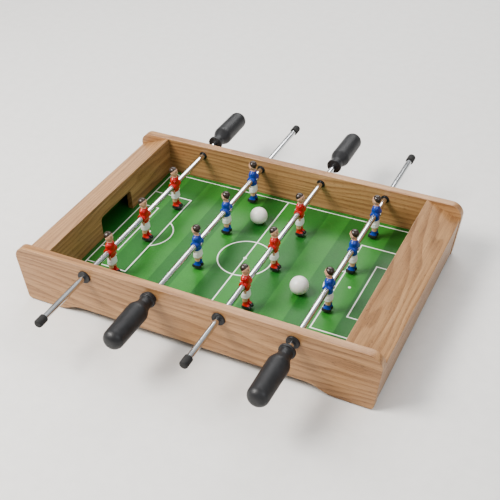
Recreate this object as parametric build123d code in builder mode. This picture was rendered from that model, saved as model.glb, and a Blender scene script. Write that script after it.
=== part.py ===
from build123d import *
import os
from math import hypot

# Tabletop football table: a wooden box with four sliding, spinning rods of three players each.
# Frame: +X along the table, +Y to the back, +Z up, origin on the surface under the table's centre.
# All lengths are in millimetres.

# ---------------------------------------------------------------- box
table_width = 330.0
panel_thickness = 12.0
panel_top = 86.0
panel_half_top = 256.0
panel_half_foot = 246.0
panel_corner_radius = 17.0
panel_foot_radius = 5.0
panel_edge_rounding = 0.8
foot_inner = 190.0
arch_outer = 167.0
arch_height = 10.5
arch_blend_radius = 40.0
pad_thickness = 1.5
pad_radius = 5.0
pad_edge_rounding = 0.4
pad_spacing_x = 436.0

half_width = table_width / 2
inner_half_width = half_width - panel_thickness
panel_bottom = pad_thickness

# ---------------------------------------------------------------- field and ends
field_top = 29.0
field_thickness = 3.0
field_end_gap = 0.2
groove_depth = 4.0
groove_play = 0.1
goal_wall_inner = 204.5
goal_wall_thickness = 8.0
goal_width = 78.0
goal_height = 33.0
goal_corner_radius = 6.0
goal_cut_below = 1.0
deck_outer_drop = 20.0
deck_thickness = 5.0
end_board_thickness = 9.0
end_board_bottom = 4.5
end_board_inset = 1.0
dowel_radius = 2.5
dowel_in_panel = 7.0
dowel_in_board = 15.0
dowel_play = 0.05
wall_dowel_heights = [41.0, 67.0]
end_dowel_heights = [16.0, 46.0]

# ---------------------------------------------------------------- rods
rod_x = [-145.0, -47.7, 47.7, 145.0]
rod_height = 70.7
rod_radius = 4.0
rod_bore_radius = 3.2
handle_side = [1, -1, 1, -1]
pushed_in = [19.0, 41.0, 7.0, 30.0]
facing = [1, -1, 1, -1]
bare_reach = 245.0
handle_start = 210.0
running_clearance = 0.075
fixed_clearance = 0.05

bushing_radius = 6.0
flange_radius = 8.8
flange_thickness = 2.5
flange_rounding = 0.9
lip_thickness = 0.8

cap_radius = 5.6
cap_length = 14.0
cap_bore_depth = 10.0
cap_bore_spare = 0.3
cap_tip_rounding = 2.4
cap_mouth_rounding = 0.4

# ---------------------------------------------------------------- handles
handle_length = 88.0
collar_radius = 10.8
collar_length = 4.0
neck_radius = 8.8
neck_length = 9.0
grip_radius = 14.0
shoulder_length = 12.0
grip_tail_radius = 13.2
collar_rounding = 0.9
neck_rounding = 7.0
shoulder_rounding = 12.0
grip_end_rounding = 10.5
handle_bore_depth = 72.0

# ---------------------------------------------------------------- players and balls
player_spacing = 85.0
players_per_rod = 3
body_sections = [
    (-31.0, 3.6, 5.2),
    (-22.0, 3.9, 5.9),
    (-13.0, 5.3, 7.4),
    (-5.0, 5.4, 7.6),
    (5.0, 6.0, 8.6),
    (11.0, 5.0, 8.0),
    (15.0, 2.9, 3.3),
]
head_height = 22.6
head_radius = 6.0
head_half_height = 6.8
neck_half_width = 2.9
boss_radius = 5.9
boss_half_width = 8.6
foot_drop = 38.7
foot_width = 13.5
ankle_drop = 30.0
toe_reach = 8.2
heel_reach = 5.4
toe_thickness = 4.6
heel_step = 1.2
sole_rounding = 1.2
toe_rounding = 1.8
ankle_rounding = 1.6
screw_seat = 6.0
screw_radius = 1.3
screw_head_radius = 2.4
screw_head_height = 1.8
screw_reach = 2.9

ball_radius = 12.5
ball_gap = 0.3
ball_places = [(97.0, -37.0), (-18.0, 82.0)]

node_ends = {-1: "left", 1: "right"}
node_sides = {-1: "front", 1: "back"}


def end_face_x(height):
    """Half length of the table at a height, along the slanted ends of the side panels."""
    share = (height - panel_bottom) / (panel_top - panel_bottom)
    return panel_half_foot + share * (panel_half_top - panel_half_foot)


def end_board_x(height):
    """Outer face of an end board, just inside the ends of the side panels."""
    return end_face_x(height) - end_board_inset


deck_low_x = end_board_x(panel_top - deck_outer_drop)
deck_slope = deck_outer_drop / (deck_low_x - goal_wall_inner)
deck_vertical = deck_thickness * hypot(1.0, deck_slope)
field_half_length = end_board_x(field_top - field_thickness) - end_board_thickness - field_end_gap


def deck_underside(x):
    """Height of the deck's underside at a distance from the table's centre."""
    return panel_top - deck_slope * (x - goal_wall_inner) - deck_vertical


def meeting_x(depth):
    """Where the deck's underside meets a line a depth inside the end board's outer face."""
    lean = (panel_half_top - panel_half_foot) / (panel_top - panel_bottom)
    start = end_board_x(deck_underside(goal_wall_inner)) - depth
    return (start + lean * deck_slope * goal_wall_inner) / (1.0 + lean * deck_slope)


def end_board_centre(height):
    """Middle of the end board's thickness at a height."""
    return end_board_x(height) - end_board_thickness / 2


goal_wall_centre = goal_wall_inner + goal_wall_thickness / 2


def players_centre(rod):
    """Y of the middle player of a rod, with the rod pushed in from its handle."""
    return -handle_side[rod] * pushed_in[rod]


def player_places(rod):
    """Y of each player on a rod."""
    first = -(players_per_rod - 1) / 2
    return [players_centre(rod) + (first + n) * player_spacing for n in range(players_per_rod)]


def across_rod(rod, place, side):
    """Plane across a rod at a Y, facing the back for a side of 1 and the front for -1."""
    return Plane(origin=(rod_x[rod], place, rod_height), x_dir=(1, 0, 0), z_dir=(0, side, 0))


def behind_player(rod, place):
    """Plane through a rod's axis at a player, facing the way the player's back does."""
    return Plane(origin=(rod_x[rod], place, rod_height), x_dir=(0, 1, 0), z_dir=(-facing[rod], 0, 0))


def write_node(piece, name):
    """Label a finished piece and write it as its own node."""
    piece.label = name
    export_step(piece, "parts/" + name + ".step")


# ---------------------------------------------------------------- dowels and side panels
def wall_dowel_places(end):
    """X and Z of the dowels at the ends of a goal wall."""
    return [(end * goal_wall_centre, height) for height in wall_dowel_heights]


def board_dowel_places(end):
    """X and Z of the dowels at the ends of an end board."""
    return [(end * end_board_centre(height), height) for height in end_dowel_heights]


def dowel_cylinders(places, play):
    """Cylinders along Y that cross from both side panels into the ends of a board."""
    with BuildPart() as dowels:
        for side in node_sides:
            tip_y = side * (inner_half_width + dowel_in_panel + play)
            with BuildSketch(Plane(origin=(0, tip_y, 0), x_dir=(1, 0, 0), z_dir=(0, side, 0))):
                with Locations([(x, -side * z) for x, z in places]):
                    Circle(dowel_radius + play)
            extrude(amount=-dowel_in_panel - dowel_in_board - 2 * play)
    return dowels.part


all_wall_dowels = wall_dowel_places(-1) + wall_dowel_places(1)
all_board_dowels = board_dowel_places(-1) + board_dowel_places(1)


def make_side_panel(side):
    """Side panel with rounded upper corners, flat feet, arch, field groove and rod holes."""
    face_y = half_width if side > 0 else -inner_half_width
    inner_plane = Plane(origin=(0, side * inner_half_width, 0), x_dir=(-side, 0, 0), z_dir=(0, side, 0))
    right = [
        (panel_half_top, panel_top),
        (panel_half_foot, panel_bottom),
        (foot_inner, panel_bottom),
        (arch_outer, panel_bottom + arch_height),
    ]
    left = [(-x, z) for x, z in reversed(right)]
    radii = [panel_corner_radius, panel_foot_radius, arch_blend_radius, arch_blend_radius]
    with BuildPart() as side_panel:
        with BuildSketch(Plane.XZ.offset(-face_y)):
            with BuildLine():
                FilletPolyline(*(right + left), radius=radii + radii[::-1], close=True)
            make_face()
        extrude(amount=panel_thickness)
        broad_faces = side_panel.faces().sort_by(Axis.Y)
        outline_edges = broad_faces[0].outer_wire().edges() + broad_faces[-1].outer_wire().edges()
        fillet(outline_edges, radius=panel_edge_rounding)
        with BuildSketch(Plane.XZ.offset(-face_y)):
            with Locations([(x, rod_height) for x in rod_x]):
                Circle(bushing_radius)
        extrude(amount=panel_thickness, mode=Mode.SUBTRACT)
        with BuildSketch(inner_plane):
            with Locations((0, field_top - field_thickness / 2)):
                Rectangle(2 * field_half_length + 2 * groove_play, field_thickness + 2 * groove_play)
        extrude(amount=groove_depth + groove_play, mode=Mode.SUBTRACT)
        add(dowel_cylinders(all_wall_dowels + all_board_dowels, dowel_play), mode=Mode.SUBTRACT)
    return side_panel.part


# ---------------------------------------------------------------- boards between the side panels
def make_goal_wall(end):
    """Inner wall at one end of the field, standing on it, with the goal opening at its foot."""
    outer = goal_wall_inner + goal_wall_thickness
    with BuildPart() as goal_wall:
        with BuildSketch(Plane.XZ.offset(-inner_half_width)):
            with BuildLine():
                Polyline(
                    (end * goal_wall_inner, field_top),
                    (end * outer, field_top),
                    (end * outer, deck_underside(outer)),
                    (end * goal_wall_inner, deck_underside(goal_wall_inner)),
                    close=True,
                )
            make_face()
        extrude(amount=2 * inner_half_width)
        with BuildSketch(Plane.YZ.offset(end * goal_wall_centre)):
            with BuildLine():
                FilletPolyline(
                    (-goal_width / 2, field_top - goal_cut_below),
                    (-goal_width / 2, field_top + goal_height),
                    (goal_width / 2, field_top + goal_height),
                    (goal_width / 2, field_top - goal_cut_below),
                    radius=[0, goal_corner_radius, goal_corner_radius, 0],
                    close=True,
                )
            make_face()
        extrude(amount=goal_wall_thickness, both=True, mode=Mode.SUBTRACT)
        add(dowel_cylinders(wall_dowel_places(end), dowel_play), mode=Mode.SUBTRACT)
    return goal_wall.part


def make_end_board(end):
    """Outer board at one end, leaning with the slanted ends of the side panels."""
    outer_top_x = meeting_x(0.0)
    inner_top_x = meeting_x(end_board_thickness)
    with BuildPart() as end_board:
        with BuildSketch(Plane.XZ.offset(-inner_half_width)):
            with BuildLine():
                Polyline(
                    (end * (end_board_x(end_board_bottom) - end_board_thickness), end_board_bottom),
                    (end * end_board_x(end_board_bottom), end_board_bottom),
                    (end * outer_top_x, deck_underside(outer_top_x)),
                    (end * inner_top_x, deck_underside(inner_top_x)),
                    close=True,
                )
            make_face()
        extrude(amount=2 * inner_half_width)
        add(dowel_cylinders(board_dowel_places(end), dowel_play), mode=Mode.SUBTRACT)
    return end_board.part


def make_deck(end):
    """Sloping board over a goal pocket, from the top of the goal wall down to the end board."""
    outer_under_x = meeting_x(0.0)
    with BuildPart() as deck:
        with BuildSketch(Plane.XZ.offset(-inner_half_width)):
            with BuildLine():
                Polyline(
                    (end * goal_wall_inner, panel_top),
                    (end * deck_low_x, panel_top - deck_outer_drop),
                    (end * outer_under_x, deck_underside(outer_under_x)),
                    (end * goal_wall_inner, deck_underside(goal_wall_inner)),
                    close=True,
                )
            make_face()
        extrude(amount=2 * inner_half_width)
    return deck.part


def make_field():
    """Thin playing board, held on its long sides in the grooves of the side panels."""
    with BuildPart() as field:
        with BuildSketch(Plane.XY.offset(field_top - field_thickness)):
            Rectangle(2 * field_half_length, 2 * (inner_half_width + groove_depth))
        extrude(amount=field_thickness)
    return field.part


def make_foot_pads():
    """Four rubber pads under the feet of the side panels."""
    with BuildPart() as foot_pads:
        with BuildSketch(Plane.XY):
            with GridLocations(pad_spacing_x, table_width - panel_thickness, 2, 2):
                Circle(pad_radius)
        extrude(amount=pad_thickness)
        fillet(foot_pads.edges().group_by(Axis.Z)[0], radius=pad_edge_rounding)
    return foot_pads.part


# ---------------------------------------------------------------- rods and what is on them
def make_bushing(rod, side):
    """Flanged plastic bushing in a side panel, with a small lip on the inner face."""
    outer_face = across_rod(rod, side * half_width, side)
    with BuildPart() as bushing:
        with BuildSketch(outer_face):
            Circle(flange_radius)
        extrude(amount=flange_thickness)
        fillet(bushing.edges().sort_by(Axis.Y)[-1 if side > 0 else 0], radius=flange_rounding)
        with BuildSketch(outer_face):
            Circle(bushing_radius - fixed_clearance)
        extrude(amount=-panel_thickness - lip_thickness)
        with BuildSketch(outer_face):
            Circle(rod_radius + running_clearance)
        extrude(amount=flange_thickness + panel_thickness + lip_thickness, both=True, mode=Mode.SUBTRACT)
    return bushing.part


def make_rod(rod):
    """Steel tube from the bare end to deep inside the handle, drilled for the player screws."""
    side = handle_side[rod]
    centre = players_centre(rod)
    bare_end = centre - side * (bare_reach - cap_length + cap_bore_depth)
    plugged_end = centre + side * (handle_start + handle_bore_depth)
    with BuildPart() as rod_tube:
        with BuildSketch(across_rod(rod, bare_end, side)):
            Circle(rod_radius)
            Circle(rod_bore_radius, mode=Mode.SUBTRACT)
        extrude(amount=abs(plugged_end - bare_end))
        for place in player_places(rod):
            with BuildSketch(behind_player(rod, place)):
                Circle(screw_radius + fixed_clearance)
            extrude(amount=2 * rod_radius, mode=Mode.SUBTRACT)
    return rod_tube.part


def make_end_cap(rod):
    """Round cap over the bare end of a rod."""
    side = -handle_side[rod]
    open_end = players_centre(rod) + side * (bare_reach - cap_length)
    mouth = across_rod(rod, open_end, side)
    with BuildPart() as end_cap:
        with BuildSketch(mouth):
            Circle(cap_radius)
        extrude(amount=cap_length)
        fillet(end_cap.edges().sort_by(Axis.Y)[-1 if side > 0 else 0], radius=cap_tip_rounding)
        fillet(end_cap.edges().sort_by(Axis.Y)[0 if side > 0 else -1], radius=cap_mouth_rounding)
        with BuildSketch(mouth):
            Circle(rod_radius + running_clearance)
        extrude(amount=cap_bore_depth + cap_bore_spare, mode=Mode.SUBTRACT)
    return end_cap.part


def make_handle(rod):
    """Bottle-shaped handle with a collar and a narrow neck at the table's side."""
    side = handle_side[rod]
    collar_y = players_centre(rod) + side * handle_start
    profile = Plane(origin=(rod_x[rod], collar_y, rod_height), x_dir=(0, side, 0), z_dir=(side, 0, 0))
    neck_end = collar_length + neck_length
    outline = [
        (0, 0),
        (0, collar_radius),
        (collar_length, collar_radius),
        (collar_length, neck_radius),
        (neck_end, neck_radius),
        (neck_end + shoulder_length, grip_radius),
        (handle_length, grip_tail_radius),
        (handle_length, 0),
    ]
    rounding = [0, collar_rounding, collar_rounding, collar_rounding]
    rounding += [neck_rounding, shoulder_rounding, grip_end_rounding, 0]
    with BuildPart() as handle:
        with BuildSketch(profile):
            with BuildLine():
                FilletPolyline(*outline, radius=rounding, close=True)
            make_face()
        revolve(axis=Axis((rod_x[rod], collar_y, rod_height), (0, 1, 0)))
        with BuildSketch(across_rod(rod, collar_y, side)):
            Circle(rod_radius + fixed_clearance)
        extrude(amount=handle_bore_depth + fixed_clearance, mode=Mode.SUBTRACT)
    return handle.part


def make_player(rod, place):
    """Player: a lofted body with a round head, a sleeve for the rod and one kicking foot."""
    front = facing[rod]
    upright = Plane(origin=(rod_x[rod], place, rod_height), x_dir=(front, 0, 0), z_dir=(0, 0, 1))
    profile = Plane(origin=upright.origin, x_dir=(front, 0, 0), z_dir=(0, -front, 0))
    with BuildPart() as player:
        for height, half_depth, half_breadth in body_sections:
            with BuildSketch(upright.offset(height)):
                Ellipse(half_depth, half_breadth)
        loft()
        with BuildSketch(profile):
            Circle(boss_radius)
        extrude(amount=boss_half_width, both=True)
        with BuildSketch(profile):
            with BuildLine():
                FilletPolyline(
                    (-heel_reach, -foot_drop),
                    (toe_reach, -foot_drop),
                    (toe_reach, -foot_drop + toe_thickness),
                    (toe_reach / 2, -ankle_drop),
                    (-heel_reach + heel_step, -ankle_drop),
                    radius=[sole_rounding, sole_rounding, toe_rounding, ankle_rounding, ankle_rounding],
                    close=True,
                )
            make_face()
        extrude(amount=foot_width / 2, both=True)
        with BuildSketch(profile):
            with Locations((0, (head_height + body_sections[-1][0]) / 2)):
                Rectangle(2 * neck_half_width, head_height - body_sections[-1][0])
        extrude(amount=neck_half_width, both=True)
        with BuildSketch(profile):
            with Locations((0, head_height)):
                Ellipse(head_radius, head_half_height)
            with Locations((-head_radius, head_height)):
                Rectangle(2 * head_radius, 2 * head_half_height, mode=Mode.SUBTRACT)
        revolve(axis=Axis(upright.origin, (0, 0, 1)))
        with BuildSketch(profile):
            Circle(rod_radius + fixed_clearance)
        extrude(amount=2 * boss_half_width, both=True, mode=Mode.SUBTRACT)
        with BuildSketch(behind_player(rod, place)):
            Circle(screw_radius + fixed_clearance)
        extrude(amount=2 * boss_radius, mode=Mode.SUBTRACT)
    return player.part


def make_player_screws(rod):
    """Group of screws, one from the back of each player into the rod."""
    with BuildPart() as player_screws:
        for place in player_places(rod):
            axis_plane = behind_player(rod, place)
            with BuildSketch(axis_plane.offset(screw_reach)):
                Circle(screw_radius)
            extrude(amount=screw_seat - screw_reach)
            with BuildSketch(axis_plane.offset(screw_seat)):
                Circle(screw_head_radius)
            extrude(amount=screw_head_height)
    return player_screws.part


def make_ball(place):
    """Plain ball lying on the field."""
    x, y = place
    height = field_top + ball_gap + ball_radius
    with BuildPart() as ball:
        with BuildSketch(Plane(origin=(x, y, height), x_dir=(1, 0, 0), z_dir=(0, -1, 0))):
            Circle(ball_radius)
            with Locations((-ball_radius, 0)):
                Rectangle(2 * ball_radius, 2 * ball_radius, mode=Mode.SUBTRACT)
        revolve(axis=Axis((x, y, height), (0, 0, 1)))
    return ball.part


# ---------------------------------------------------------------- write every node
os.makedirs("parts", exist_ok=True)

write_node(make_field(), "playing_field")
write_node(make_foot_pads(), "foot_pads")
for end, end_name in node_ends.items():
    write_node(make_goal_wall(end), "goal_wall_" + end_name)
    write_node(make_end_board(end), "end_board_" + end_name)
    write_node(make_deck(end), "pocket_deck_" + end_name)
write_node(dowel_cylinders(all_wall_dowels, 0), "goal_wall_dowels")
write_node(dowel_cylinders(all_board_dowels, 0), "end_board_dowels")

for side, side_name in node_sides.items():
    write_node(make_side_panel(side), "side_panel_" + side_name)
    for rod in range(len(rod_x)):
        write_node(make_bushing(rod, side), "bushing_" + side_name + "_" + str(rod + 1))

for rod in range(len(rod_x)):
    number = str(rod + 1)
    write_node(make_rod(rod), "rod_" + number)
    write_node(make_end_cap(rod), "rod_end_cap_" + number)
    write_node(make_handle(rod), "handle_" + number)
    write_node(make_player_screws(rod), "player_screws_" + number)
    for index, place in enumerate(player_places(rod)):
        write_node(make_player(rod, place), "player_" + number + "_" + str(index + 1))

for index, place in enumerate(ball_places):
    write_node(make_ball(place), "ball_" + str(index + 1))
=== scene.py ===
import math

import bmesh
import bpy
from mathutils import Matrix, Vector


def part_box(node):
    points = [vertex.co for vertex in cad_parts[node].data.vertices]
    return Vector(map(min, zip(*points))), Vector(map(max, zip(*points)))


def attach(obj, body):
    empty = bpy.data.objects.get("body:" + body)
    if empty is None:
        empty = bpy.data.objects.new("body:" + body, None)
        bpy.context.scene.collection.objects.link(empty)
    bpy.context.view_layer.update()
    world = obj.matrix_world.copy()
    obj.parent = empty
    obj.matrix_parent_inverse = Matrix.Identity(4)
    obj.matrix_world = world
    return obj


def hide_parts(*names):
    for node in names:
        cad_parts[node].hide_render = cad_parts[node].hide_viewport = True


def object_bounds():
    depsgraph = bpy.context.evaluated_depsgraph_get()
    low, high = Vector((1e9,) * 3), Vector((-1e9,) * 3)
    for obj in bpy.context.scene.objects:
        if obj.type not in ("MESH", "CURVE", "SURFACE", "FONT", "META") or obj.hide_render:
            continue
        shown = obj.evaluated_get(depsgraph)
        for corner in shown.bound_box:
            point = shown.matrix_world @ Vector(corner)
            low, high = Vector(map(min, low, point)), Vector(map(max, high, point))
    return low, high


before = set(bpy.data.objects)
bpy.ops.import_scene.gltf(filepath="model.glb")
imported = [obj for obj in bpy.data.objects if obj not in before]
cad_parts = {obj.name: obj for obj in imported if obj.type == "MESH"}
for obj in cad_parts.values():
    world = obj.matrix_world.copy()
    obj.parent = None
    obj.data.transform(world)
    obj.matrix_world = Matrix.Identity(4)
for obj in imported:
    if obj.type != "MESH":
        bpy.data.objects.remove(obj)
cad_low, cad_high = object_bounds()

MM = 0.001
RODS = (1, 2, 3, 4)
MEN = (1, 2, 3)
ENDS = ("left", "right")
SIDES = ("front", "back")
UP = Vector((0, 0, 1))


# ------------------------------------------------------------------ camera, lights and floor
def aim(obj, target, roll=0.0):
    """Turns an object so that its -Z axis points at a place, then rolls it about that axis."""
    back = (obj.location - Vector(target)).normalized()
    right = UP.cross(back).normalized()
    top = back.cross(right)
    rolled = right * math.cos(roll) + top * math.sin(roll)
    axes = Matrix((rolled, back.cross(rolled), back)).transposed()
    obj.matrix_world = Matrix.Translation(obj.location) @ axes.to_4x4()


def around(target, azimuth, elevation, distance):
    """Point at a distance from a target. Azimuth 0 is in front of the table and 90 at its right."""
    a, e = math.radians(azimuth), math.radians(elevation)
    way = Vector((math.sin(a) * math.cos(e), -math.cos(a) * math.cos(e), math.sin(e)))
    return Vector(target) + way * distance


def add_camera():
    data = bpy.data.cameras.new("camera")
    data.lens = 65
    data.sensor_width = 36
    data.clip_start = 0.01
    camera = bpy.data.objects.new("camera", data)
    bpy.context.scene.collection.objects.link(camera)
    target = (0.006, 0.004, 0.042)
    azimuth, elevation, distance, roll = 27.27, 37.6, 1.2294, -2.0
    camera.location = around(target, azimuth, elevation, distance)
    aim(camera, target, math.radians(roll))
    bpy.context.scene.camera = camera


def add_softbox(name, azimuth, elevation, distance, size, power, tint):
    """Area light of a width and height, that looks at the table."""
    data = bpy.data.lights.new(name, "AREA")
    data.shape = "RECTANGLE"
    data.size, data.size_y = size
    data.energy = power
    data.color = tint
    light = bpy.data.objects.new(name, data)
    bpy.context.scene.collection.objects.link(light)
    middle = (cad_low + cad_high) / 2
    light.location = around(middle, azimuth, elevation, distance)
    aim(light, middle)


def add_ceiling_light(power, spread):
    """Very soft light from straight above, which reaches the whole floor evenly."""
    data = bpy.data.lights.new("ceiling_light", "SUN")
    data.energy = power
    data.angle = math.radians(spread)
    light = bpy.data.objects.new("ceiling_light", data)
    bpy.context.scene.collection.objects.link(light)


def add_studio():
    """Three softboxes, an even light from above and a pale world."""
    add_softbox("key_light", -50, 50, 1.9, (0.9, 0.8), 44, (1.0, 0.97, 0.93))
    add_softbox("fill_light", 75, 35, 2.2, (1.2, 0.8), 9, (0.93, 0.96, 1.0))
    add_softbox("back_light", 190, 42, 2.0, (1.6, 0.5), 16, (1.0, 1.0, 1.0))
    add_ceiling_light(0.7, 100)
    horizon, overhead = (1.0, 1.0, 1.0, 1), (0.72, 0.73, 0.74, 1)
    overhead_from, strength = 0.6, 0.48
    world = bpy.data.worlds.new("studio")
    bpy.context.scene.world = world
    world.use_nodes = True
    tree = world.node_tree
    way = tree.nodes.new("ShaderNodeTexCoord")
    height = tree.nodes.new("ShaderNodeSeparateXYZ")
    sky = tree.nodes.new("ShaderNodeValToRGB")
    sky.color_ramp.elements[0].color = horizon
    sky.color_ramp.elements[1].position = overhead_from
    sky.color_ramp.elements[1].color = overhead
    background = tree.nodes["Background"]
    background.inputs["Strength"].default_value = strength
    tree.links.new(way.outputs["Generated"], height.inputs[0])
    tree.links.new(height.outputs["Z"], sky.inputs["Fac"])
    tree.links.new(sky.outputs["Color"], background.inputs["Color"])
    bpy.context.scene.view_settings.view_transform = "AgX"
    bpy.context.scene.view_settings.look = "AgX - Medium High Contrast"


def add_floor():
    """Plain pale floor that reaches far past every view."""
    half = 30.0
    mesh = bpy.data.meshes.new("floor")
    corners = [(-half, -half, 0), (half, -half, 0), (half, half, 0), (-half, half, 0)]
    mesh.from_pydata(corners, [], [(0, 1, 2, 3)])
    floor = bpy.data.objects.new("floor", mesh)
    bpy.context.scene.collection.objects.link(floor)
    shade = Shade("studio_floor")
    grain = shade.noise(shade.place, 60, 3)
    shade.colour(shade.between(grain, ((0.77, 0.76, 0.74), (0.80, 0.79, 0.77))))
    shade.rough(shade.scale(grain, 0.1, 0.6))
    mesh.materials.append(shade.material)


# ------------------------------------------------------------------ shader helper
class Shade:
    """Builds one node material. Every pattern uses the object's own coordinates, in metres."""

    def __init__(self, name):
        self.material = bpy.data.materials.new(name)
        self.material.use_nodes = True
        self.tree = self.material.node_tree
        self.shader = self.tree.nodes["Principled BSDF"]
        self.place = self.node("ShaderNodeTexCoord").outputs["Object"]

    def node(self, kind, **settings):
        made = self.tree.nodes.new(kind)
        for key, value in settings.items():
            setattr(made, key, value)
        return made

    def feed(self, socket, value):
        """Links a socket to an output, or sets its number or colour."""
        if isinstance(value, bpy.types.NodeSocket):
            self.tree.links.new(value, socket)
        elif hasattr(value, "__len__") and len(value) == 3 and socket.type == "RGBA":
            socket.default_value = (*value, 1)
        else:
            socket.default_value = value

    def stretch(self, scale, shift=(0, 0, 0)):
        """The object's coordinates, scaled and then shifted."""
        made = self.node("ShaderNodeMapping")
        self.feed(made.inputs["Vector"], self.place)
        made.inputs["Location"].default_value = shift
        made.inputs["Scale"].default_value = scale
        return made.outputs["Vector"]

    def noise(self, place, scale, detail=4.0, roughness=0.5):
        """Cloudy pattern from 0 to 1, with about as many lumps in a metre as its scale."""
        made = self.node("ShaderNodeTexNoise")
        self.feed(made.inputs["Vector"], place)
        made.inputs["Scale"].default_value = scale
        made.inputs["Detail"].default_value = detail
        made.inputs["Roughness"].default_value = roughness
        return made.outputs["Fac"]

    def maths(self, operation, a, b=0.0):
        made = self.node("ShaderNodeMath", operation=operation)
        self.feed(made.inputs[0], a)
        self.feed(made.inputs[1], b)
        return made.outputs[0]

    def times(self, *values):
        """Product of values. Of masks from 0 to 1, it is where all of them are 1."""
        product = values[0]
        for value in values[1:]:
            product = self.maths("MULTIPLY", product, value)
        return product

    def gap(self, a, b):
        """How far apart two values are."""
        return self.maths("ABSOLUTE", self.maths("SUBTRACT", a, b))

    def distance(self, across, along):
        """Length of a flat vector."""
        squares = self.maths("ADD", self.times(across, across), self.times(along, along))
        return self.maths("SQRT", squares)

    def scale(self, value, span, low):
        """low at 0 and low + span at 1."""
        return self.maths("ADD", self.maths("MULTIPLY", value, span), low)

    def step(self, value, low, high):
        """0 below low and 1 above high, with a smooth ramp between. High may be the lower one."""
        made = self.node("ShaderNodeMapRange", interpolation_type="SMOOTHSTEP")
        self.feed(made.inputs["Value"], value)
        flip = low > high
        made.inputs["From Min"].default_value = min(low, high)
        made.inputs["From Max"].default_value = max(low, high)
        made.inputs["To Min"].default_value = 1.0 if flip else 0.0
        made.inputs["To Max"].default_value = 0.0 if flip else 1.0
        return made.outputs["Result"]

    def ramp(self, value, stops):
        """Colour ramp over stops of (value, colour)."""
        made = self.node("ShaderNodeValToRGB")
        self.feed(made.inputs["Fac"], value)
        elements = made.color_ramp.elements
        while len(elements) < len(stops):
            elements.new(0.5)
        for element, (at, colour) in zip(elements, stops):
            element.position = at
            element.color = (*colour, 1)
        return made.outputs["Color"]

    def between(self, value, colours, margin=0.3):
        """The first colour below the margin, the second above 1 - margin, and a ramp between."""
        first, second = colours
        return self.ramp(value, [(margin, first), (1 - margin, second)])

    def mix(self, share, a, b):
        made = self.node("ShaderNodeMix", data_type="RGBA")
        self.feed(made.inputs["Factor"], share)
        self.feed(made.inputs[6], a)
        self.feed(made.inputs[7], b)
        return made.outputs[2]

    def tint(self, colour, by):
        """Multiplies a colour by a grey value."""
        made = self.node("ShaderNodeVectorMath", operation="SCALE")
        self.feed(made.inputs[0], colour)
        self.feed(made.inputs["Scale"], by)
        return made.outputs["Vector"]

    def axes(self):
        made = self.node("ShaderNodeSeparateXYZ")
        self.feed(made.inputs[0], self.place)
        return made.outputs["X"], made.outputs["Y"], made.outputs["Z"]

    def facing(self):
        """The surface's direction, as X, Y and Z."""
        made = self.node("ShaderNodeSeparateXYZ")
        coordinates = self.node("ShaderNodeTexCoord")
        self.feed(made.inputs[0], coordinates.outputs["Normal"])
        return made.outputs["X"], made.outputs["Y"], made.outputs["Z"]

    def edge(self, radius):
        """About 1 on an outer or inner edge and 0 on open surface."""
        bevel = self.node("ShaderNodeBevel", samples=4)
        bevel.inputs["Radius"].default_value = radius
        flat = self.node("ShaderNodeNewGeometry").outputs["Normal"]
        dot = self.node("ShaderNodeVectorMath", operation="DOT_PRODUCT")
        self.feed(dot.inputs[0], bevel.outputs["Normal"])
        self.feed(dot.inputs[1], flat)
        return self.step(dot.outputs["Value"], 0.995, 0.86)

    def bump(self, height, strength, distance, normal=None):
        made = self.node("ShaderNodeBump")
        made.inputs["Strength"].default_value = strength
        made.inputs["Distance"].default_value = distance
        self.feed(made.inputs["Height"], height)
        if normal is not None:
            self.feed(made.inputs["Normal"], normal)
        return made.outputs["Normal"]

    def soft_edges(self, radius):
        bevel = self.node("ShaderNodeBevel", samples=4)
        bevel.inputs["Radius"].default_value = radius
        return bevel.outputs["Normal"]

    def colour(self, value):
        self.feed(self.shader.inputs["Base Color"], value)

    def rough(self, value):
        self.feed(self.shader.inputs["Roughness"], value)

    def relief(self, normal):
        self.feed(self.shader.inputs["Normal"], normal)

    def set(self, name, value):
        self.feed(self.shader.inputs[name], value)


# ------------------------------------------------------------------ colours
# Linear red, green and blue. A pair holds the two colours that a patchy surface varies between.
OAK_TONES = [
    (0.12, (0.20, 0.098, 0.042)),
    (0.36, (0.345, 0.185, 0.084)),
    (0.58, (0.46, 0.268, 0.13)),
    (0.85, (0.57, 0.36, 0.19)),
]
OAK_PORE = (0.12, 0.058, 0.026)
OAK_RUBBED = (0.58, 0.43, 0.28)
RAW_BOARD = ((0.30, 0.20, 0.12), (0.44, 0.32, 0.20))
MOWN_DARK = ((0.012, 0.085, 0.016), (0.04, 0.19, 0.035))
MOWN_LIGHT = ((0.022, 0.14, 0.022), (0.065, 0.27, 0.05))
LINE_PAINT = ((0.78, 0.79, 0.76), (0.88, 0.88, 0.86))
FIELD_BOARD = ((0.20, 0.125, 0.07), (0.31, 0.205, 0.12))
CHROME = ((0.60, 0.61, 0.62), (0.74, 0.75, 0.76))
CHROME_PIT = (0.28, 0.25, 0.21)
ZINC = ((0.42, 0.41, 0.38), (0.60, 0.60, 0.58))
BEECH = ((0.50, 0.33, 0.18), (0.68, 0.49, 0.30))
BEECH_FLECK = (0.30, 0.17, 0.08)
BLACK_PLASTIC = ((0.014, 0.014, 0.015), (0.028, 0.028, 0.030))
BLACK_RUBBER = ((0.016, 0.016, 0.016), (0.034, 0.033, 0.032))
BALL_WHITE = ((0.74, 0.73, 0.69), (0.84, 0.83, 0.80))
BALL_SCUFF = (0.46, 0.43, 0.38)
SKIN = ((0.58, 0.33, 0.21), (0.70, 0.43, 0.29))
HAIR = ((0.022, 0.013, 0.009), (0.05, 0.032, 0.022))
EYE = (0.02, 0.015, 0.012)
BROW = (0.05, 0.032, 0.022)
LIP = (0.42, 0.14, 0.11)
SHORTS = ((0.74, 0.74, 0.72), (0.84, 0.84, 0.82))
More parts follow.
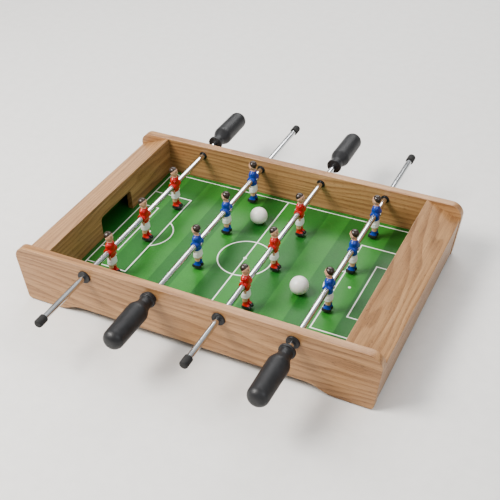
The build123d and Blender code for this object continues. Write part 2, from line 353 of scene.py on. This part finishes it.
BOOTS = ((0.012, 0.012, 0.013), (0.03, 0.03, 0.032))
RED_SHIRT, RED_SOCKS = ((0.40, 0.012, 0.010), (0.60, 0.03, 0.022)), (0.55, 0.025, 0.02)
BLUE_SHIRT, BLUE_SOCKS = ((0.008, 0.035, 0.26), (0.02, 0.075, 0.44)), (0.015, 0.06, 0.38)
PAINT_RUBBED = (0.55, 0.52, 0.48)


# ------------------------------------------------------------------ materials
def wood_shade(name, along):
    """Oak-grain foil on fibreboard, with the grain along one axis and raw board on the underside."""
    heart_below = 0.11
    ring_spacing = 0.0062
    shade = Shade(name)
    axis = "XYZ".index(along)

    def squeezed(share, shift=(0, 0, 0)):
        """Coordinates that change slowly along the grain."""
        return shade.stretch([share if i == axis else 1.0 for i in range(3)], shift)

    length = shade.node("ShaderNodeVectorMath", operation="LENGTH")
    shade.feed(length.inputs[0], squeezed(0.03, (0, 0, heart_below)))
    bend = shade.noise(squeezed(0.16), 11, 3, 0.5)
    radius = shade.maths("ADD", length.outputs["Value"], shade.scale(bend, 0.07, -0.035))
    ring = shade.maths("FRACT", shade.maths("DIVIDE", radius, ring_spacing))
    late = shade.times(shade.step(ring, 0.25, 0.88), shade.step(ring, 1.0, 0.93))
    slow = shade.noise(squeezed(0.1), 30, 4, 0.6)
    fibre = shade.step(shade.noise(squeezed(0.02), 1300, 5, 0.7), 0.3, 0.7)
    strands = shade.noise(squeezed(0.03), 260, 3, 0.6)
    tone = shade.maths("ADD", shade.scale(slow, 0.75, 0.12), shade.scale(strands, 0.45, -0.22))
    tone = shade.maths("SUBTRACT", tone, shade.times(late, shade.scale(slow, 0.2, 0.1)))
    colour = shade.tint(shade.ramp(tone, OAK_TONES), shade.scale(fibre, 0.3, 0.83))
    pores = shade.step(shade.noise(squeezed(0.09), 1700, 2, 0.5), 0.60, 0.66)
    pores = shade.times(pores, shade.scale(late, 0.6, 0.4))
    colour = shade.mix(shade.times(pores, 0.7), colour, OAK_PORE)
    patchy = shade.step(shade.noise(shade.place, 70, 5, 0.7), 0.42, 0.62)
    worn = shade.times(shade.edge(0.0012), patchy)
    colour = shade.mix(shade.times(worn, 0.7), colour, OAK_RUBBED)
    below = shade.step(shade.facing()[2], -0.6, -0.9)
    dust = shade.noise(shade.place, 1400, 3, 0.7)
    shade.colour(shade.mix(below, colour, shade.between(dust, RAW_BOARD)))
    smudge = shade.noise(shade.place, 16, 4, 0.6)
    polish = shade.maths("ADD", shade.scale(smudge, 0.22, 0.26), shade.times(pores, 0.15))
    shade.rough(shade.maths("MAXIMUM", polish, shade.times(below, 0.85)))
    height = shade.maths("SUBTRACT", shade.times(fibre, 0.35), pores)
    shade.relief(shade.bump(height, 0.25, 0.00025, shade.soft_edges(0.0009)))
    shade.set("Coat Weight", 0.12)
    shade.set("Coat Roughness", 0.3)
    return shade.material


def field_shade(name):
    """Printed green foil with mown stripes and white pitch lines on a thin brown board.

    Goal boxes and the penalty spot are depths from the goal line, and line is half a line's width."""
    line = 0.0011
    margin = 0.007
    centre_circle, centre_spot = 0.038, 0.0028
    corner_arc = 0.012
    goal_boxes = ((0.062, 0.092), (0.027, 0.055))
    penalty_depth, penalty_arc, penalty_spot = 0.045, 0.034, 0.0022
    stripe_pair = 0.066
    edge_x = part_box("goal_wall_right")[0].x - margin
    edge_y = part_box("side_panel_back")[0].y - margin
    shade = Shade(name)
    x, y, _ = shade.axes()
    ax = shade.maths("ABSOLUTE", x)
    ay = shade.maths("ABSOLUTE", y)

    def near(value, at):
        return shade.step(shade.gap(value, at), line, line * 0.72)

    def within(value, limit):
        return shade.maths("LESS_THAN", value, limit + line)

    def beyond(value, limit):
        return shade.maths("GREATER_THAN", value, limit - line)

    def spot(value, radius):
        return shade.step(value, radius, radius - line * 0.45)

    def from_point(px, py):
        return shade.distance(shade.maths("SUBTRACT", ax, px), shade.maths("SUBTRACT", ay, py))

    centre = from_point(0.0, 0.0)
    penalty = from_point(edge_x - penalty_depth, 0.0)
    corner = near(from_point(edge_x, edge_y), corner_arc)
    marks = [
        shade.times(near(ax, edge_x), within(ay, edge_y)),
        shade.times(near(ay, edge_y), within(ax, edge_x)),
        shade.times(near(x, 0.0), within(ay, edge_y)),
        near(centre, centre_circle),
        spot(centre, centre_spot),
        shade.times(corner, within(ax, edge_x), within(ay, edge_y)),
        spot(penalty, penalty_spot),
        shade.times(near(penalty, penalty_arc), within(ax, edge_x - goal_boxes[0][0])),
    ]
    for depth, half_breadth in goal_boxes:
        front = edge_x - depth
        marks.append(shade.times(near(ax, front), within(ay, half_breadth)))
        marks.append(shade.times(near(ay, half_breadth), beyond(ax, front), within(ax, edge_x)))
    white = marks[0]
    for mark in marks[1:]:
        white = shade.maths("MAXIMUM", white, mark)

    stripe = shade.maths("SINE", shade.times(x, 2 * math.pi / stripe_pair))
    stripe = shade.step(stripe, -0.12, 0.12)
    blades = shade.noise(shade.stretch((1, 0.35, 1)), 2600, 3, 0.7)
    patches = shade.noise(shade.place, 26, 4, 0.55)
    dark = shade.between(blades, MOWN_DARK, 0.25)
    light = shade.between(blades, MOWN_LIGHT, 0.25)
    green = shade.tint(shade.mix(stripe, dark, light), shade.scale(patches, 0.5, 0.75))
    scuffs = shade.step(shade.noise(shade.stretch((0.5, 3, 1)), 120, 6, 0.75), 0.66, 0.74)
    white = shade.times(white, shade.scale(scuffs, -0.35, 0.96))
    printed = shade.mix(white, green, shade.between(patches, LINE_PAINT, 0.2))
    top = shade.step(shade.facing()[2], 0.5, 0.9)
    dust = shade.noise(shade.place, 900, 4, 0.7)
    shade.colour(shade.mix(top, shade.between(dust, FIELD_BOARD), printed))
    rough = shade.maths("ADD", shade.scale(patches, 0.16, 0.34), shade.times(scuffs, 0.15))
    shade.rough(shade.mix(top, (0.85, 0.85, 0.85), rough))
    height = shade.maths("ADD", shade.times(blades, 0.5), shade.times(white, 0.5))
    shade.relief(shade.bump(height, 0.12, 0.0002))
    shade.set("Specular IOR Level", 0.32)
    return shade.material


def chrome_shade(name):
    """Bright plated tube with fine lengthwise polishing lines and a little tarnish."""
    shade = Shade(name)
    lines = shade.noise(shade.stretch((1, 0.012, 1)), 2600, 3, 0.6)
    cloud = shade.noise(shade.place, 55, 5, 0.6)
    pits = shade.step(shade.noise(shade.place, 900, 2, 0.5), 0.78, 0.83)
    shade.colour(shade.mix(shade.times(pits, 0.4), shade.between(cloud, CHROME), CHROME_PIT))
    rough = shade.maths("ADD", shade.scale(lines, 0.06, 0.06), shade.times(cloud, 0.07))
    shade.rough(shade.maths("ADD", rough, shade.times(pits, 0.3)))
    shade.set("Metallic", 1.0)
    shade.relief(shade.bump(lines, 0.03, 0.00005))
    return shade.material


def steel_shade(name):
    """Zinc-plated screw steel with a slight yellow bloom."""
    shade = Shade(name)
    cloud = shade.noise(shade.place, 700, 4, 0.6)
    shade.colour(shade.between(cloud, ZINC))
    shade.rough(shade.scale(cloud, 0.25, 0.22))
    shade.set("Metallic", 1.0)
    shade.relief(shade.bump(cloud, 0.15, 0.00008, shade.soft_edges(0.0002)))
    return shade.material


def plastic_shade(name, colours, grain_size, polish, relief, seam=None):
    """Moulded plastic with a spark-eroded grain and edges rubbed lighter.

    A seam is the height of a parting line."""
    shade = Shade(name)
    cloud = shade.noise(shade.place, 60, 4, 0.6)
    grain = shade.noise(shade.place, 1.0 / grain_size, 3, 0.6)
    patchy = shade.step(shade.noise(shade.place, 160, 4, 0.7), 0.4, 0.65)
    worn = shade.times(shade.edge(0.0007), patchy)
    base = shade.tint(shade.between(cloud, colours), shade.scale(grain, 0.4, 0.8))
    rubbed = tuple(0.6 * c + 0.06 for c in colours[1])
    shade.colour(shade.mix(shade.times(worn, 0.5), base, rubbed))
    rough = shade.maths("ADD", shade.scale(cloud, 0.16, polish), shade.times(grain, 0.08))
    shade.rough(shade.maths("SUBTRACT", rough, shade.times(worn, 0.1)))
    surface = shade.bump(grain, relief, 0.0002, shade.soft_edges(0.0004))
    if seam is not None:
        parting = shade.step(shade.gap(shade.axes()[2], seam), 0.00035, 0.0001)
        surface = shade.bump(parting, 0.6, 0.0002, surface)
    shade.relief(surface)
    return shade.material


def dowel_shade(name):
    """Plain beech along Y with short dark flecks."""
    shade = Shade(name)
    grain = shade.noise(shade.stretch((1, 0.05, 1)), 500, 4, 0.6)
    fleck = shade.step(shade.noise(shade.stretch((1, 0.15, 1)), 1500, 2), 0.62, 0.7)
    shade.colour(shade.mix(shade.times(fleck, 0.5), shade.between(grain, BEECH, 0.25), BEECH_FLECK))
    shade.rough(shade.scale(grain, 0.15, 0.6))
    shade.relief(shade.bump(grain, 0.3, 0.0002))
    return shade.material


def ball_shade(name):
    """White moulded plastic, a little scuffed."""
    shade = Shade(name)
    cloud = shade.noise(shade.place, 90, 5, 0.6)
    scratch = shade.step(shade.noise(shade.stretch((1, 7, 1)), 210, 5, 0.75), 0.66, 0.75)
    base = shade.between(cloud, BALL_WHITE)
    shade.colour(shade.mix(shade.times(scratch, 0.35), base, BALL_SCUFF))
    shade.rough(shade.maths("ADD", shade.scale(cloud, 0.14, 0.26), shade.times(scratch, 0.25)))
    shade.relief(shade.bump(shade.noise(shade.place, 900, 2), 0.06, 0.0002))
    shade.set("Subsurface Weight", 0.08)
    shade.set("Subsurface Scale", 0.002)
    return shade.material


def player_shade(name, shirt, socks):
    """Painted plastic player: shirt, white shorts, socks, boots, skin and hair.

    Heights are above the rod's axis, and the player looks along +X."""
    boot_top, sock_top, shorts_hem, shirt_hem = -0.0338, -0.0268, -0.0205, -0.0088
    hand_level, sleeve_hem, arm_side = -0.0118, -0.0046, 0.0066
    neckline, chin, hairline = 0.0133, 0.0168, 0.0239
    face_front = 0.003
    eye_side, eye_height, eye_radius = 0.0022, 0.0229, 0.0007
    brow_height, brow_half_length = 0.0248, 0.0013
    lip_height, lip_half_length = 0.0191, 0.0015
    border = 0.00012
    shade = Shade(name)
    x, y, z = shade.axes()
    ay = shade.maths("ABSOLUTE", y)
    wobble = shade.scale(shade.noise(shade.place, 420, 3, 0.6), 0.0009, -0.00045)
    level = shade.maths("ADD", z, wobble)
    cloud = shade.noise(shade.place, 190, 4, 0.6)

    def above(value, limit):
        return shade.step(value, limit - border, limit + border)

    def below(value, limit):
        return shade.step(value, limit + border, limit - border)

    skin = shade.between(cloud, SKIN, 0.25)
    colour = shade.mix(above(level, boot_top), shade.between(cloud, BOOTS, 0.25), socks)
    colour = shade.mix(above(level, sock_top), colour, skin)
    colour = shade.mix(above(level, shorts_hem), colour, shade.between(cloud, SHORTS, 0.25))
    colour = shade.mix(above(level, shirt_hem), colour, shade.between(cloud, shirt, 0.25))
    arm = shade.times(above(ay, arm_side), above(level, hand_level), below(level, sleeve_hem))
    colour = shade.mix(arm, colour, skin)
    collar = shade.maths("ADD", level, shade.times(ay, -0.35))
    colour = shade.mix(above(collar, neckline), colour, skin)
    crown = shade.maths("SUBTRACT", level, shade.times(x, 0.8))
    scalp = shade.times(above(level, chin), above(crown, hairline))
    colour = shade.mix(scalp, colour, shade.between(cloud, HAIR, 0.25))
    front = above(x, face_front)
    from_eye = shade.gap(ay, eye_side)
    eye = shade.distance(from_eye, shade.gap(z, eye_height))
    eyes = shade.times(shade.step(eye, eye_radius, 0.83 * eye_radius), front)
    colour = shade.mix(eyes, colour, EYE)
    brow = shade.step(shade.gap(z, brow_height), 0.0003, 0.0002)
    brow = shade.times(brow, shade.step(from_eye, brow_half_length, 0.85 * brow_half_length), front)
    colour = shade.mix(brow, colour, BROW)
    mouth = shade.step(shade.gap(z, lip_height), 0.00034, 0.00022)
    mouth = shade.times(mouth, shade.step(ay, lip_half_length, 0.8 * lip_half_length), front)
    colour = shade.mix(mouth, colour, LIP)
    patchy = shade.step(shade.noise(shade.place, 330, 4, 0.7), 0.5, 0.66)
    worn = shade.times(shade.edge(0.0006), patchy)
    shade.colour(shade.mix(shade.times(worn, 0.35), colour, PAINT_RUBBED))
    shade.rough(shade.scale(cloud, 0.2, 0.22))
    shade.relief(shade.bump(shade.noise(shade.place, 1300, 2), 0.08, 0.00015))
    shade.set("Coat Weight", 0.25)
    shade.set("Coat Roughness", 0.15)
    return shade.material


# ------------------------------------------------------------------ mesh helpers
def to_object(bm, name, material):
    """Smooth-shaded object from a bmesh whose lengths are in metres."""
    bmesh.ops.recalc_face_normals(bm, faces=bm.faces)
    mesh = bpy.data.meshes.new(name)
    bm.to_mesh(mesh)
    bm.free()
    for face in mesh.polygons:
        face.use_smooth = True
    mesh.materials.append(material)
    made = bpy.data.objects.new(name, mesh)
    bpy.context.scene.collection.objects.link(made)
    return made


def skin_rings(bm, rings):
    """Closed skin over rings of points, all with the same number, and the rings' vertices."""
    rows = [[bm.verts.new(point) for point in ring] for ring in rings]
    for lower, upper in zip(rows, rows[1:]):
        for i in range(len(lower)):
            j = (i + 1) % len(lower)
            bm.faces.new((lower[i], lower[j], upper[j], upper[i]))
    bm.faces.new(rows[0])
    bm.faces.new(rows[-1])
    return rows


def flat_ring(centre, half_x, half_y, squareness=2.0, count=28):
    """Level superellipse, round at a squareness of 2 and boxier above."""
    points = []
    for i in range(count):
        a = 2 * math.pi * i / count
        c, s = math.cos(a), math.sin(a)
        px = math.copysign(abs(c) ** (2 / squareness), c) * half_x
        py = math.copysign(abs(s) ** (2 / squareness), s) * half_y
        points.append(Vector(centre) + Vector((px, py, 0)))
    return points


def stack(bm, sections):
    """Skin over level sections of (x, y, z, half_x, half_y, squareness)."""
    skin_rings(bm, [flat_ring(s[:3], *s[3:]) for s in sections])


def circle(middle, side, other, radius, count):
    """Ring of points about a middle, in the plane of two unit vectors."""
    turn = [2 * math.pi * k / count for k in range(count)]
    return [middle + (side * math.cos(a) + other * math.sin(a)) * radius for a in turn]


def limb(bm, path, count=16):
    """Tapered round limb with rounded ends through points of (x, y, z, radius)."""
    points = [Vector(p[:3]) for p in path]
    rings = []
    for i, (point, (_, _, _, radius)) in enumerate(zip(points, path)):
        ahead = points[min(i + 1, len(points) - 1)] - points[max(i - 1, 0)]
        way = ahead.normalized()
        side = way.orthogonal().normalized()
        other = way.cross(side)
        caps = [(0.0, 1.0)]
        if i == 0:
            caps = [(-0.9, 0.44), (-0.6, 0.8), (0.0, 1.0)]
        if i == len(points) - 1:
            caps = [(0.0, 1.0), (0.6, 0.8), (0.9, 0.44)]
        for shift, share in caps:
            rings.append(circle(point + way * shift * radius, side, other, radius * share, count))
    skin_rings(bm, rings)


def blob(bm, centre, radii, count=20):
    """Rounded lump as part of a sculpted body."""
    rings = []
    for i in range(1, count // 2):
        a = math.pi * i / (count // 2)
        level = (centre[0], centre[1], centre[2] - radii[2] * math.cos(a))
        rings.append(flat_ring(level, radii[0] * math.sin(a), radii[1] * math.sin(a), 2.0, count))
    skin_rings(bm, rings)


def fuse(made, voxel, smoothing, kept):
    """Melts overlapping skins into one smooth closed skin, and keeps a share of its faces."""
    remesh = made.modifiers.new("melt", "REMESH")
    remesh.mode = "VOXEL"
    remesh.voxel_size = voxel
    remesh.use_smooth_shade = True
    smooth = made.modifiers.new("smooth", "SMOOTH")
    smooth.factor = 0.5
    smooth.iterations = smoothing
    thin = made.modifiers.new("thin", "DECIMATE")
    thin.ratio = kept
    bpy.context.view_layer.update()
    depsgraph = bpy.context.evaluated_depsgraph_get()
    baked = bpy.data.meshes.new_from_object(made.evaluated_get(depsgraph))
    made.modifiers.clear()
    made.data = baked
    for face in baked.polygons:
        face.use_smooth = True


def lathe(bm, origin, profile, axis, count):
    """Turned skin: profile points are (distance along the axis, radius), closed at both ends."""
    way = Vector(axis).normalized()
    side = way.orthogonal().normalized()
    other = way.cross(side)
    rings = [circle(Vector(origin) + way * at, side, other, radius, count) for at, radius in profile]
    return skin_rings(bm, rings)


def middle_of(node):
    """Middle of a CAD node's box."""
    low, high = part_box(node)
    return (low + high) / 2


# ------------------------------------------------------------------ players
def sculpt_player(material):
    """One player about the rod's axis, looking along +X. Lengths here are in millimetres."""
    bm = bmesh.new()
    for side in (-1, 1):
        stack(bm, [
            (1.5, side * 3.35, -38.6, 6.3, 3.2, 3.2),
            (1.5, side * 3.35, -37.6, 6.6, 3.35, 3.2),
            (1.5, side * 3.35, -35.6, 6.4, 3.3, 3.0),
            (0.7, side * 3.3, -34.0, 5.2, 3.0, 2.6),
            (0.0, side * 3.2, -32.2, 3.6, 2.7, 2.2),
            (-0.2, side * 3.15, -29.5, 3.1, 2.6, 2.0),
            (-0.4, side * 3.2, -26.5, 3.6, 3.0, 2.0),
            (-0.1, side * 3.3, -23.0, 3.5, 3.1, 2.0),
            (0.1, side * 3.5, -19.0, 4.0, 3.6, 2.0),
            (0.0, side * 3.6, -14.0, 4.6, 4.0, 2.0),
        ])
        limb(bm, [
            (0.0, side * 5.9, 10.2, 2.3),
            (0.2, side * 6.4, 5.0, 2.1),
            (0.6, side * 6.5, -1.0, 1.9),
            (2.0, side * 6.6, -6.5, 1.6),
            (2.6, side * 6.6, -10.5, 1.5),
        ])
        blob(bm, (0.1, side * 5.95, 22.0), (1.25, 0.75, 1.65), 12)
    stack(bm, [
        (0.0, 0, -20.6, 5.5, 7.4, 2.5),
        (0.0, 0, -19.8, 5.7, 7.6, 2.5),
        (0.0, 0, -15.0, 5.4, 7.2, 2.4),
        (0.0, 0, -9.5, 4.8, 6.2, 2.2),
    ])
    stack(bm, [
        (0.0, 0, -10.6, 5.0, 6.2, 2.3),
        (0.0, 0, -9.0, 5.2, 6.4, 2.3),
        (0.0, 0, -3.0, 4.9, 6.2, 2.3),
        (0.1, 0, 3.0, 5.5, 6.7, 2.4),
        (0.2, 0, 8.0, 5.6, 7.2, 2.4),
        (0.0, 0, 11.4, 4.7, 6.6, 2.3),
        (-0.1, 0, 13.4, 3.5, 4.7, 2.0),
        (-0.1, 0, 14.4, 3.1, 3.3, 2.0),
        (0.0, 0, 18.0, 2.8, 2.8, 2.0),
    ])
    stack(bm, [
        (0.1, 0, 12.9, 4.0, 4.3, 2.0),
        (0.0, 0, 13.9, 3.9, 4.1, 2.0),
        (0.0, 0, 14.5, 3.5, 3.6, 2.0),
    ])
    stack(bm, [
        (1.0, 0, 15.9, 2.6, 2.4, 2.0),
        (0.7, 0, 17.0, 4.2, 3.9, 2.0),
        (0.4, 0, 19.6, 5.4, 5.1, 2.1),
        (0.1, 0, 22.6, 5.8, 5.6, 2.1),
        (0.0, 0, 25.9, 5.4, 5.2, 2.0),
        (-0.1, 0, 28.3, 3.7, 3.7, 2.0),
        (-0.1, 0, 29.2, 1.8, 1.8, 2.0),
    ])
    blob(bm, (6.0, 0, 21.2), (1.15, 0.85, 1.25), 12)
    blob(bm, (4.9, 0, 24.2), (1.15, 3.3, 0.75), 12)
    blob(bm, (4.6, 0, 17.4), (1.1, 1.7, 1.0), 12)
    blob(bm, (-0.6, 0, 24.4), (5.6, 5.85, 5.05), 20)
    lathe(bm, (0, -8.6, 0), [(0, 5.2), (0.6, 5.85), (16.6, 5.85), (17.2, 5.2)], (0, 1, 0), 32)
    bmesh.ops.scale(bm, vec=(MM, MM, MM), verts=bm.verts)
    made = to_object(bm, "player_pattern", material)
    fuse(made, voxel=0.42 * MM, smoothing=3, kept=0.4)
    return made


def add_players(materials):
    """Puts the sculpted player over each CAD player, looking the way its foot points.

    The material at 1 is for odd rods and the one at 0 for even rods."""
    patterns = {odd: sculpt_player(material) for odd, material in materials.items()}
    for rod in RODS:
        axis = middle_of("rod_%d" % rod)
        for man in MEN:
            node = "player_%d_%d" % (rod, man)
            middle = middle_of(node)
            made = patterns[rod % 2].copy()
            made.name = "figure_%d_%d" % (rod, man)
            bpy.context.scene.collection.objects.link(made)
            turn = 0.0 if middle.x > axis.x else math.pi
            spot = Vector((axis.x, middle.y, axis.z))
            made.matrix_world = Matrix.Translation(spot) @ Matrix.Rotation(turn, 4, "Z")
            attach(made, "rod_set_%d" % rod)
            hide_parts(node)
    for pattern in patterns.values():
        bpy.data.objects.remove(pattern)


# ------------------------------------------------------------------ small parts
def add_screws(material):
    """Cross-head screws at the back of the players of each rod."""
    head_height = 1.75 * MM
    cross_half_width, cross_reach, cross_depth = 0.32 * MM, 1.35 * MM, 0.8 * MM
    for rod in RODS:
        low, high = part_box("player_screws_%d" % rod)
        axis = middle_of("rod_%d" % rod)
        back = 1 if (low.x + high.x) / 2 > axis.x else -1
        tip = max(abs(low.x - axis.x), abs(high.x - axis.x))
        seat = tip - head_height
        radius = (high.z - low.z) / 2
        shank = [(0.0, 0.9 * MM), (seat - 0.2 * MM, 1.2 * MM), (seat, 1.3 * MM)]
        head = [(0.0, 0.95), (0.2, 1.0), (0.46, 0.99), (0.71, 0.88), (0.91, 0.66)]
        head += [(1.0, share) for share in (0.5, 0.4, 0.3, 0.2, 0.1)]
        profile = shank + [(seat + rise * head_height, share * radius) for rise, share in head]
        bm = bmesh.new()
        for man in MEN:
            y = middle_of("player_%d_%d" % (rod, man)).y
            rows = lathe(bm, (axis.x, y, axis.z), profile, (back, 0, 0), 48)
            for vertex in [v for row in rows[len(shank) + 4:] for v in row]:
                dy, dz = abs(vertex.co.y - y), abs(vertex.co.z - axis.z)
                if min(dy, dz) < cross_half_width and max(dy, dz) < cross_reach:
                    vertex.co.x -= back * cross_depth
        made = to_object(bm, "cross_screws_%d" % rod, material)
        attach(made, "rod_set_%d" % rod)
        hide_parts("player_screws_%d" % rod)


def add_balls(material):
    """Balls with the fine seam of their two moulded halves."""
    seam_half_width, seam_depth = 0.22 * MM, 0.008
    for number in (1, 2):
        node = "ball_%d" % number
        low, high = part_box(node)
        radius = (high.x - low.x) / 2
        bm = bmesh.new()
        bmesh.ops.create_icosphere(bm, subdivisions=5, radius=radius)
        for vertex in bm.verts:
            depth = math.exp(-((vertex.co.z / seam_half_width) ** 2))
            vertex.co *= 1 - seam_depth * depth
        made = to_object(bm, "moulded_" + node, material)
        tilt = Matrix.Rotation(math.radians(35 * number), 4, "X")
        turn = Matrix.Rotation(math.radians(22), 4, "Y")
        made.matrix_world = Matrix.Translation(middle_of(node)) @ tilt @ turn
        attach(made, "rolling_" + node)
        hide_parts(node)


def dress(nodes, material):
    """Gives CAD nodes their material."""
    for name in nodes:
        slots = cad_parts[name].material_slots
        if not slots:
            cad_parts[name].data.materials.append(material)
        for entry in slots:
            entry.link = "OBJECT"
            entry.material = material


# ------------------------------------------------------------------ build
add_camera()
add_studio()
add_floor()

boards = [part + "_" + end for part in ("pocket_deck", "end_board", "goal_wall") for end in ENDS]
bushings = ["bushing_%s_%d" % (side, rod) for side in SIDES for rod in RODS]
caps = ["rod_end_cap_%d" % rod for rod in RODS]
grip = plastic_shade("handle_plastic", BLACK_PLASTIC, 0.0006, 0.3, 0.55, middle_of("rod_1").z)

dress(["side_panel_" + side for side in SIDES], wood_shade("wood_foil_along", "X"))
dress(boards, wood_shade("wood_foil_across", "Y"))
dress(["playing_field"], field_shade("field_foil"))
dress(["goal_wall_dowels", "end_board_dowels"], dowel_shade("beech_dowel"))
dress(["rod_%d" % rod for rod in RODS], chrome_shade("rod_chrome"))
dress(bushings, plastic_shade("bushing_nylon", BLACK_PLASTIC, 0.0009, 0.3, 0.1))
dress(["handle_%d" % rod for rod in RODS], grip)
dress(caps + ["foot_pads"], plastic_shade("soft_rubber", BLACK_RUBBER, 0.0005, 0.6, 0.35))

red = player_shade("player_red_paint", RED_SHIRT, RED_SOCKS)
blue = player_shade("player_blue_paint", BLUE_SHIRT, BLUE_SOCKS)
add_players({1: red, 0: blue})
add_screws(steel_shade("screw_zinc"))
add_balls(ball_shade("ball_plastic"))
